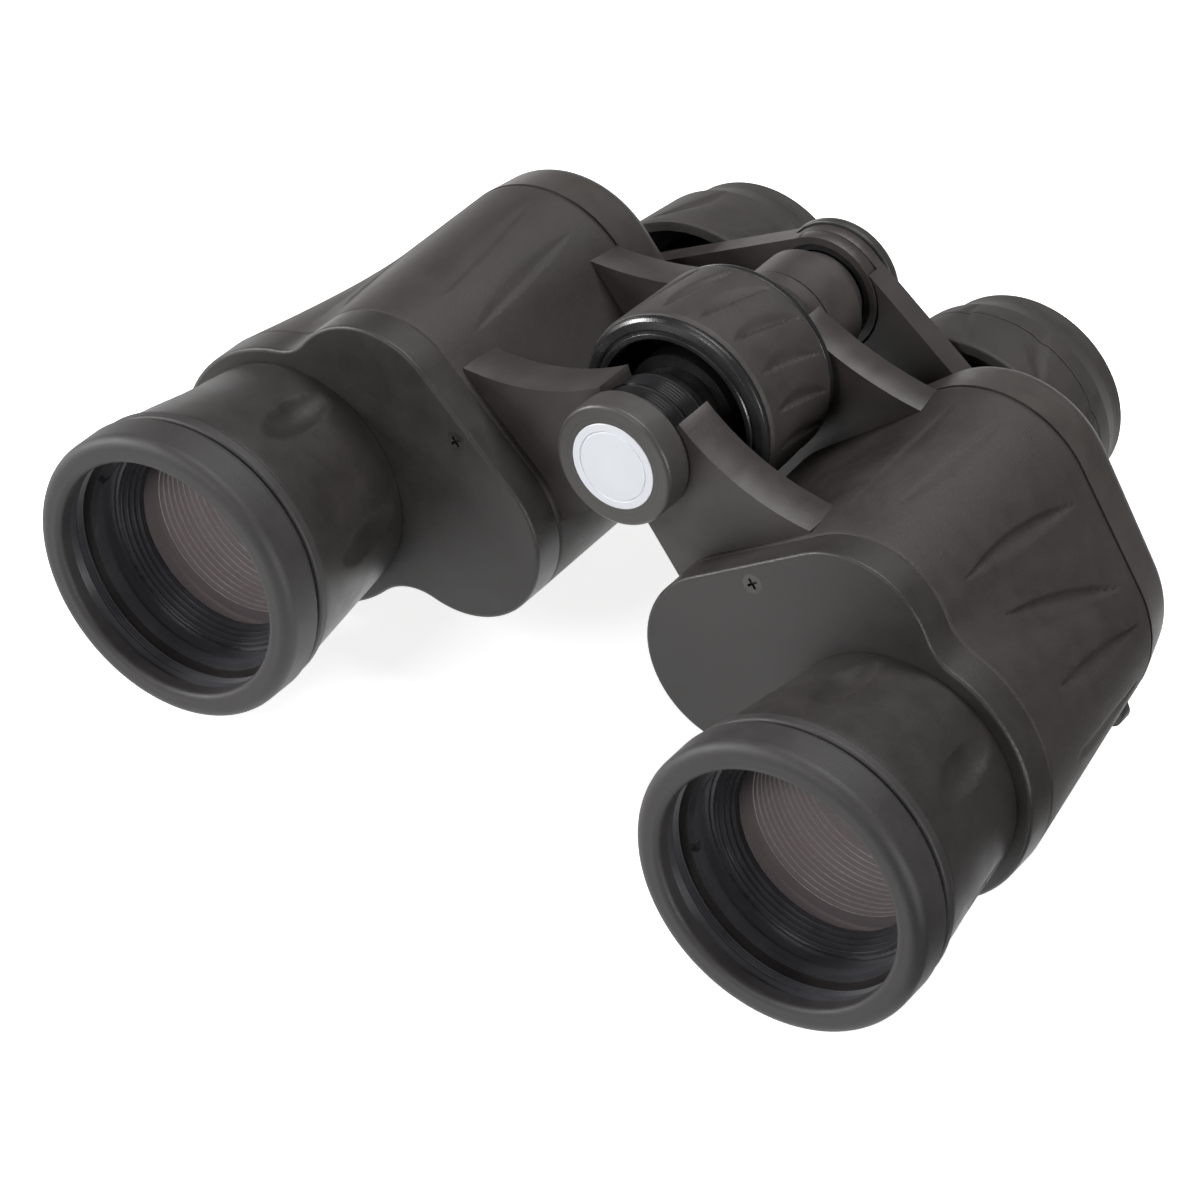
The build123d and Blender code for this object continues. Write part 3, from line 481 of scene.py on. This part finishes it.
def pressed(stations, skin):
    """How far in the armour's outside is pressed, at each point of the skin."""
    bearings = np.degrees(np.arctan2(skin[..., 1] - BODY_MIDDLE[1], skin[..., 0] - BODY_MIDDLE[0]))
    reach = np.hypot(skin[..., 1] - BODY_MIDDLE[1], skin[..., 0] - BODY_MIDDLE[0])
    depth = np.zeros(bearings.shape)
    for first, last, bow, start, end, width, deep in HOLLOWS:
        t = (stations - start) / (end - start)
        centre = first + (last - first) * t + bow * 4 * t * (1 - t)
        away = (bearings - centre[:, None] + 180.0) % 360.0 - 180.0
        across = -np.radians(away) * reach
        along = np.repeat((stations - (start + end) / 2)[:, None], bearings.shape[1], axis=1)
        depth = np.maximum(depth, leaf(along, across, (end - start) / 2, width, deep, STEEP_SHARE))
    # both ends roll in a little, which leaves the seams beside the covers
    roll_length, roll_depth = END_ROLL
    from_end = np.minimum(stations - BODY_SPAN[0], BODY_SPAN[1] - stations)
    depth += (roll_depth * np.clip(1.0 - from_end / roll_length, 0.0, 1.0) ** 2)[:, None]
    return depth


def uncut(stations, skin):
    """Which of the skin's faces stay: all but those in the notches."""
    keep = np.ones((len(stations) - 1, skin.shape[1]), bool)
    for (start, end), low_point, high_point in NOTCHES:
        for i, middle in enumerate((stations[:-1] + stations[1:]) / 2):
            if start < middle < end:
                ends = [int(np.argmin(np.hypot(*(skin[i] - p).T))) for p in (high_point, low_point)]
                keep[i, ends[0]:ends[1]] = False
    return keep


def walled(keep, inside):
    """The kept faces of an outer and an inner layer, whose points lie `inside` places
    further on, and a wall between the layers along each open edge."""
    rows, columns = keep.shape
    faces = []
    for i in range(rows):
        for k in range(columns):
            if not keep[i, k]:
                continue
            m = (k + 1) % columns
            corners = (i * columns + k, i * columns + m, (i + 1) * columns + m, (i + 1) * columns + k)
            faces.append(corners)
            faces.append(tuple(c + inside for c in reversed(corners)))
            edges = (
                (i == 0 or not keep[i - 1, k], corners[0], corners[1]),
                (not keep[i, m], corners[1], corners[2]),
                (i == rows - 1 or not keep[i + 1, k], corners[2], corners[3]),
                (not keep[i, k - 1], corners[3], corners[0]),
            )
            faces += [(b, a, a + inside, b + inside) for open_edge, a, b in edges if open_edge]
    return faces


def armour(side_name, side):
    stations = armour_stations()
    share = ((stations - BODY_SPAN[0]) / (BODY_SPAN[1] - BODY_SPAN[0]))[:, None, None]
    skin = outline(FRONT_ROUNDS)[None] * (1 - share) + outline(REAR_ROUNDS)[None] * share
    tangent = np.roll(skin, -1, axis=1) - np.roll(skin, 1, axis=1)
    tangent /= np.linalg.norm(tangent, axis=2, keepdims=True)
    outward = np.stack([tangent[..., 1], -tangent[..., 0]], axis=-1)
    outer = skin - outward * pressed(stations, skin)[..., None]
    inner = skin - outward * ARMOUR_THICK
    y = FRONT + MM * np.repeat(stations[:, None], skin.shape[1], axis=1)
    points = np.concatenate([
        np.stack([side * MM * layer[..., 0], y, MM * layer[..., 1]], -1).reshape(-1, 3)
        for layer in (outer, inner)
    ])
    faces = walled(uncut(stations, skin), y.size)
    piece(f"{side_name}_armour_skin", points, faces, f"{side_name}_barrel", ARMOUR,
          [f"{side_name}_rubber_armour"], ARMOUR_CREASE)


# ---- objective tube and what shows inside it ----------------------------------------------
TUBE_HOLLOWS = 6
TUBE_HOLLOW = {"bearing": math.radians(46.0), "station": 28.3, "half_length": 9.6, "half_width": 3.5,
               "depth": 1.5}
RIM_SEAT = (3.3, 12.0)              # the stretch of tube under the rubber rim
TUBE_OUTER_R = 22.9                 # every point further out is on the tapered outside
TUBE_END = 39.9                     # at the front cover
SPIGOT_END = 43.2
MOUTH_END = 8.2
LENS_SEAT = (18.8, 27.0)
SEAT_R = 21.1
THREAD_SPAN = (5.4, 7.9)
STEPS = 4                           # stepped ribs of the lens retainer
STEP_START = (14.35, 20.3)          # the first one's station and bore radius
STEP_PITCH = (0.78, 0.7)            # how far each is behind the last, and how much narrower
RIBS = 12                           # ribs of the spacer and the baffle behind the lens
RIB_PITCH = 1.35
RIB_START = 22.2
RIB_R = 18.05
RIB_ROOT_R = 18.9
GLINT_R = 0.15                      # of the bright bead along a rib's edge
FIRST_GLINT_R = 0.07                # on the first rib, which stands in full light


def tube_carve(s, a, r):
    """Hollows pressed round the tube, on its outside only."""
    pitch = math.tau / TUBE_HOLLOWS
    away = (a - TUBE_HOLLOW["bearing"] + pitch / 2) % pitch - pitch / 2
    along = (s - TUBE_HOLLOW["station"]) / TUBE_HOLLOW["half_length"]
    across = away * r / TUBE_HOLLOW["half_width"]
    inside = np.clip(1.0 - along**2 - across**2, 0.0, 1.0)
    return np.where((r > TUBE_OUTER_R) & (s > RIM_SEAT[1] + 0.5), TUBE_HOLLOW["depth"] * inside, 0.0)


def saw(first, last, pitch, low, high):
    """Thread crests and roots down a bore, from one station to another."""
    turns = round(abs(last - first) / pitch)
    step = (last - first) / turns
    return [(first + step * (k + share), r) for k in range(turns) for share, r in ((0.1, low), (0.6, high))]


def tube_profile():
    front, shoulder = RIM_SEAT
    outside = [(front, 25.1), (shoulder, 25.1), (shoulder, 26.8), (shoulder + 1.2, 26.75), (TUBE_END, 23.2)]
    spigot = [(TUBE_END, 20.5), (SPIGOT_END, 20.5), (SPIGOT_END, 18.6), (TUBE_END + 0.1, 18.6)]
    bore = [(TUBE_END + 0.1, 19.6), (LENS_SEAT[1], 19.6), (LENS_SEAT[1], SEAT_R), (LENS_SEAT[0], SEAT_R)]
    mouth = [(LENS_SEAT[0], 22.4), (MOUTH_END, 22.4), (MOUTH_END, 24.4), (front, 24.4)]
    return dense(softened(outside + spigot + bore + mouth, {2: 0.3}), 0.7)


def thread_profile():
    front, wall, crest, root = RIM_SEAT[0] + 0.05, 24.38, 23.5, 24.1
    ridges = saw(*THREAD_SPAN, 0.6, crest, root)
    return [(front, wall), (front, 24.2), *ridges, (THREAD_SPAN[1], root), (8.35, root), (8.35, wall)]


def seat_profile():
    """The retainer's steps, which narrow towards the lens, and its plain back."""
    steps = []
    for step in range(STEPS):
        start, bore = STEP_START[0] + STEP_PITCH[0] * step, STEP_START[1] - STEP_PITCH[1] * step
        steps += [(start, bore + 0.62), (start, bore + 0.1), (start + 0.12, bore), (start + 0.66, bore)]
    return steps + [(17.55, 18.25), (17.5, 18.5), (14.5, 21.2)]


def rib_profiles():
    """The ribbed sleeve, and a six-sided bead along the edge of each rib."""
    ribs, glints = [], []
    for rib in range(RIBS):
        start = RIB_START + rib * RIB_PITCH
        ribs += [(start, RIB_R), (start + 0.2, RIB_R), (start + 0.35, RIB_ROOT_R), (start + 1.25, RIB_ROOT_R)]
        bead = FIRST_GLINT_R if rib == 0 else GLINT_R
        glints.append([(start + 0.1 + bead * math.cos(a), RIB_R + bead * math.sin(a))
                       for a in (math.tau * k / 6 for k in range(6))])
    back = LENS_SEAT[1] + 0.05
    return ribs + [(39.0, 19.5), (back, 19.5), (back, 21.0), (RIB_START - 0.05, 21.0)], glints


def objective(side_name, side):
    def part(name, profiles, slot, material, replaced=(), steps=160, carve=None):
        turned_set(f"{side_name}_{name}", OBJECTIVE, profiles, f"{side_name}_barrel", material,
                   [f"{side_name}_{node}" for node in replaced], steps, carve, side)

    part("tube", [tube_profile()], "satin_black", SATIN, ["objective_tube"], 240, tube_carve)
    part("thread", [thread_profile()], "retainer_black", RETAINER)
    part("seat_ribs", [seat_profile()], "retainer_black", RETAINER)
    glint = [(14.25, 21.1), (14.22, 21.4), (14.3, 21.7), (14.5, 21.7), (14.5, 21.1)]
    part("seat_glint", [glint], "screw_steel", SPRING)
    # the flint sits inside a ribbed spacer that runs on into the baffle
    flint = [(24.25, 0.02), (24.05, 6.0), (23.55, 12.0), (22.7, 17.8), (26.8, 17.8), (27.2, 9.0),
             (27.3, 0.02)]
    part("flint", [flint], "inner_glass", CLEAR, ["flint_lens"], 96)
    ribs, glints = rib_profiles()
    part("baffle_ribs", [ribs], "retainer_black", RETAINER, ["light_baffle"])
    part("rib_glints", glints, "screw_steel", GLINT, (), 128)


# ---- eyecups and the dioptre ring --------------------------------------------------------
CUP_HOLLOWS = 9
CUP_HOLLOW = {"bearing": 0.35, "slant": 0.022, "offset": 2.2, "width": 6.0, "depth": 0.5, "steep": 0.3}
CUP_OUTER_R = 21.6                  # every point further out can be carved
CUP_SHOULDER = 8.6                  # ahead of the eyecup's rear rim
CUP_SHOULDER_R = 22.25
CUP_LIP_R = 20.2
CUP_NECK_R = 15.4
SKIRT_R = (21.35, 23.55)            # the left cup's skirt, bore and outside
SKIRT = 9.0                         # its length
RING_R = (23.4, 22.75)              # the dioptre ring, front and rear
RING_BORE_R = 16.35
RING_SKIRT = 5.2


def stations_of(node):
    """Where a node starts and ends along Y."""
    low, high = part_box(node)
    return (low[1] - FRONT) / MM, (high[1] - FRONT) / MM


def cup_carve(start, end):
    """Shallow slanting hollows round a cup, between two stations, on its outside only."""
    def carve(s, a, r):
        pitch = math.tau / CUP_HOLLOWS
        slant = CUP_HOLLOW["slant"] * (s - start)
        away = (a - CUP_HOLLOW["bearing"] - slant + pitch / 2) % pitch - pitch / 2
        deep = leaf(s - (start + end) / 2, away * r + CUP_HOLLOW["offset"], (end - start) / 2,
                    CUP_HOLLOW["width"], CUP_HOLLOW["depth"], CUP_HOLLOW["steep"])
        return np.where(r > CUP_OUTER_R, deep, 0.0)
    return carve


def eyecup(side_name, side):
    """Returns the stations that the hollows run between."""
    start, rear = stations_of(f"{side_name}_eyecup")
    shoulder = rear - CUP_SHOULDER
    back = [(shoulder, CUP_SHOULDER_R), (rear - 3.6, CUP_LIP_R + 0.2), (rear - 2.2, CUP_LIP_R),
            (rear, CUP_LIP_R - 0.05), (rear, 16.6), (rear - 0.8, 15.9), (rear - 4.5, 13.8),
            (rear - 4.5, CUP_NECK_R)]
    rounding = (1.8, 0.8, 0.4, 0.4, 0.5)
    if side_name == "left":
        body = "focus_bridge"
        front = [(start + SKIRT, CUP_NECK_R), (start + SKIRT, SKIRT_R[0]), (start, SKIRT_R[0]),
                 (start, SKIRT_R[1])]
        edge = 0.5
        first = start + 1.5
    else:
        body = "right_eyepiece"
        front = [(start, CUP_NECK_R), (start, RING_R[1])]
        edge = 0.25
        first = start - 11.0        # the hollows begin on the dioptre ring
    corners = {len(front) - 1 + i: radius for i, radius in enumerate((edge, *rounding))}
    profile = dense(softened(front + back, corners, 6), 0.7)
    turned(f"{side_name}_cup", EYEPIECE, profile, body, CUP, [f"{side_name}_eyecup"], 200,
           cup_carve(first, shoulder), side)
    return first, shoulder


def dioptre_grip(first, shoulder):
    start, rear = stations_of("dioptre_ring")
    step = start + RING_SKIRT
    profile = softened(
        [(start, SKIRT_R[0]), (start, RING_R[0]), (rear, RING_R[1]), (rear, RING_BORE_R),
         (step, RING_BORE_R), (step, SKIRT_R[0])],
        {1: 0.5, 2: 0.25})
    turned("dioptre_grip", EYEPIECE, dense(profile, 0.7), "dioptre_ring", CUP,
           ["dioptre_ring"], 200, cup_carve(first, shoulder))


# ---- focus wheel ------------------------------------------------------------------------------
GRIP_HOLLOWS = 16
GRIP_SPAN = (62.9, 83.6)
GRIP_BORE_R = 17.4
GRIP_HOLLOW = {"bearing": math.radians(21.0), "slant": 0.012, "offset": 2.0, "station": 73.8,
               "half_length": 8.6, "width": 3.6, "depth": 0.7, "steep": 0.22}
GRIP_OUTER_R = 18.0
WHEEL_BORE_R = 7.1


def grip_carve(s, a, r):
    """Slanting hollows round the grip, on its outside only."""
    pitch = math.tau / GRIP_HOLLOWS
    slant = GRIP_HOLLOW["slant"] * (s - 73.6)
    away = (a - GRIP_HOLLOW["bearing"] + slant + pitch / 2) % pitch - pitch / 2
    deep = leaf(s - GRIP_HOLLOW["station"], away * r + GRIP_HOLLOW["offset"], GRIP_HOLLOW["half_length"],
                GRIP_HOLLOW["width"], GRIP_HOLLOW["depth"], GRIP_HOLLOW["steep"])
    return np.where(r > GRIP_OUTER_R, deep, 0.0)


def focus_wheel():
    front, rear = GRIP_SPAN
    grip = softened(
        [(front, GRIP_BORE_R), (front, 19.0), (front + 0.8, 19.35), (rear, 18.75), (rear, GRIP_BORE_R)],
        {1: 0.35, 2: 0.5, 3: 1.0})
    turned("wheel_sleeve", HINGE, dense(grip, 0.5), "focus_wheel", GRIP, ["wheel_grip"],
           288, grip_carve)
    front_ring = [(61.2, 14.9), (61.2, 15.9), (61.55, 16.1), (61.55, 16.5), (61.25, 16.8), (61.45, 18.2),
                  (62.0, 18.8), (62.8, 18.9), (62.8, GRIP_BORE_R)]
    back = [(83.7, GRIP_BORE_R), (83.7, 18.3), (85.2, 18.3), (85.2, WHEEL_BORE_R), (82.0, WHEEL_BORE_R)]
    bore = [(82.0, 9.6), (66.5, 9.6), (66.5, WHEEL_BORE_R), (63.6, WHEEL_BORE_R)]
    hollow = [(63.6, 10.8), (80.4, 10.8), (80.4, 14.9)]
    core = softened(
        front_ring + back + bore + hollow,
        {0: 0.25, 1: 0.15, 4: 0.15, 5: 0.35, 6: 0.3, 7: 0.2, 10: 0.2, 11: 0.4},
    )
    turned("wheel_core", HINGE, core, "focus_wheel", WHEEL, ["focus_wheel"], 192)


# ---- hinge knuckles: ribbed bands round the lugs behind the cap ----------------------------
KNUCKLES = {"right": (48.65, 52.85), "left": (53.15, 57.4)}


def knuckles():
    for side_name, (start, end) in KNUCKLES.items():
        ribs = saw(start, end, 0.7, 10.5, 10.3)
        turned(f"{side_name}_knuckle", HINGE, [(start, 10.1), *ribs, (end, 10.1)], f"{side_name}_barrel",
               HUB, (), 160)


# ---- badge: a plain white inlay with one engraved ring, in a ring of the cap's plastic -----
BADGE_R = 8.25
BADGE_SEAT_R = 9.28
ENGRAVED = (6.5, 6.9)               # the engraved ring's edges


def badge():
    face, _ = stations_of("cap_badge")
    back = face + 0.55
    inner, outer = ENGRAVED
    inlay = [(back, 0.02), (back, BADGE_R), (face + 0.12, BADGE_R), (face + 0.02, BADGE_R - 0.1),
             (face - 0.02, outer), (face + 0.12, outer - 0.08), (face + 0.12, inner + 0.08),
             (face - 0.02, inner), (face - 0.1, 4.0), (face - 0.12, 0.02)]
    turned("badge_inlay", HINGE, inlay, "hinge_cap", BADGE, ["cap_badge"], 128)
    ring = [(back, BADGE_R + 0.05), (face + 0.14, BADGE_R + 0.05), (face + 0.1, BADGE_R + 0.1),
            (face + 0.1, BADGE_SEAT_R), (back, BADGE_SEAT_R)]
    turned("badge_surround", HINGE, ring, "hinge_cap", CAP, (), 128)


for side_name, side in SIDES:
    armour(side_name, side)
    objective(side_name, side)
    cup_span = eyecup(side_name, side)
dioptre_grip(*cup_span)
focus_wheel()
knuckles()
badge()


# ---- stage ----------------------------------------------------------------------------
FLOOR_GLOW = 0.8
CARD_GLOW = 1.5
SKY_GLOW = 0.12
SUBJECT = (0.0, 0.0, 0.03)          # where every light points
# Softboxes: name, place, size, power.
LIGHTS = (
    ("key", (-1.25, -0.5, 0.4), (0.35, 0.3), 17.0),
    ("kicker", (1.25, -0.35, 0.36), (0.4, 0.3), 9.0),
    ("top", (0.0, 0.3, 1.15), (0.8, 0.5), 11.0),
    ("front", (-0.15, -1.1, 0.75), (0.35, 0.35), 5.5),
)
CAMERA_PLACE = (0.3171, -0.58825, 0.53373)
CAMERA_ANGLES = (29.55, 38.04, 6.76)    # azimuth, elevation and roll, in degrees
CAMERA_LENS = 139.2


def plane(name, size, place, material):
    bpy.ops.mesh.primitive_plane_add(size=size, location=place)
    sheet = bpy.context.object
    sheet.name = name
    sheet.data.materials.append(material)
    return sheet


def floor():
    t = Tree("pale_floor")
    t.join(t.mix(t.spread(t.noise(40.0), 0.0, 1.0), (0.90, 0.90, 0.90), (0.93, 0.93, 0.93)),
           t.shader.inputs["Base Color"])
    t.set(rough=0.9, specular=0.1)
    t.glow(FLOOR_GLOW)
    table = plane("floor", 8.0, (0.0, 0.6, cad_low.z), t.material)
    table.visible_diffuse = False
    table.visible_glossy = False


def card():
    """The lit part of the table, mostly to the left, as the glossy paint mirrors it."""
    t = Tree("lit_card")
    t.shader.inputs["Base Color"].default_value = (0.0, 0.0, 0.0, 1.0)
    t.set(rough=1.0, specular=0.0)
    t.glow(CARD_GLOW)
    mirrored = plane("card", 4.0, (-1.9, 0.5, cad_low.z + MM), t.material)
    mirrored.visible_camera = False
    mirrored.visible_diffuse = False
    mirrored.visible_transmission = False
    mirrored.visible_shadow = False


def softbox(name, place, size, power):
    light = bpy.data.lights.new(name, "AREA")
    light.shape = "RECTANGLE"
    light.size, light.size_y = size
    light.energy = power
    holder = bpy.data.objects.new(name, light)
    holder.location = place
    holder.rotation_mode = "QUATERNION"
    holder.rotation_quaternion = (Vector(SUBJECT) - Vector(place)).to_track_quat("-Z", "Y")
    bpy.context.scene.collection.objects.link(holder)


def sky():
    world = bpy.data.worlds.new("studio")
    world.use_nodes = True
    background = world.node_tree.nodes["Background"]
    background.inputs["Color"].default_value = (1.0, 1.0, 1.0, 1.0)
    background.inputs["Strength"].default_value = SKY_GLOW
    bpy.context.scene.world = world


def camera():
    azimuth, elevation, roll = (math.radians(a) for a in CAMERA_ANGLES)
    back = Vector((math.sin(azimuth) * math.cos(elevation),
                   -math.cos(azimuth) * math.cos(elevation), math.sin(elevation)))
    level = Vector((math.cos(azimuth), math.sin(azimuth), 0.0))
    right = math.cos(roll) * level + math.sin(roll) * back.cross(level)
    up = back.cross(right)
    data = bpy.data.cameras.new("camera")
    data.sensor_width = 36.0
    data.lens = CAMERA_LENS
    data.clip_start, data.clip_end = 0.01, 20.0
    holder = bpy.data.objects.new("camera", data)
    columns = Matrix((right, up, back)).transposed().to_4x4()
    holder.matrix_world = Matrix.Translation(CAMERA_PLACE) @ columns
    bpy.context.scene.collection.objects.link(holder)
    bpy.context.scene.camera = holder


bpy.context.scene.view_settings.view_transform = "Standard"
floor()
card()
sky()
for light in LIGHTS:
    softbox(*light)
camera()
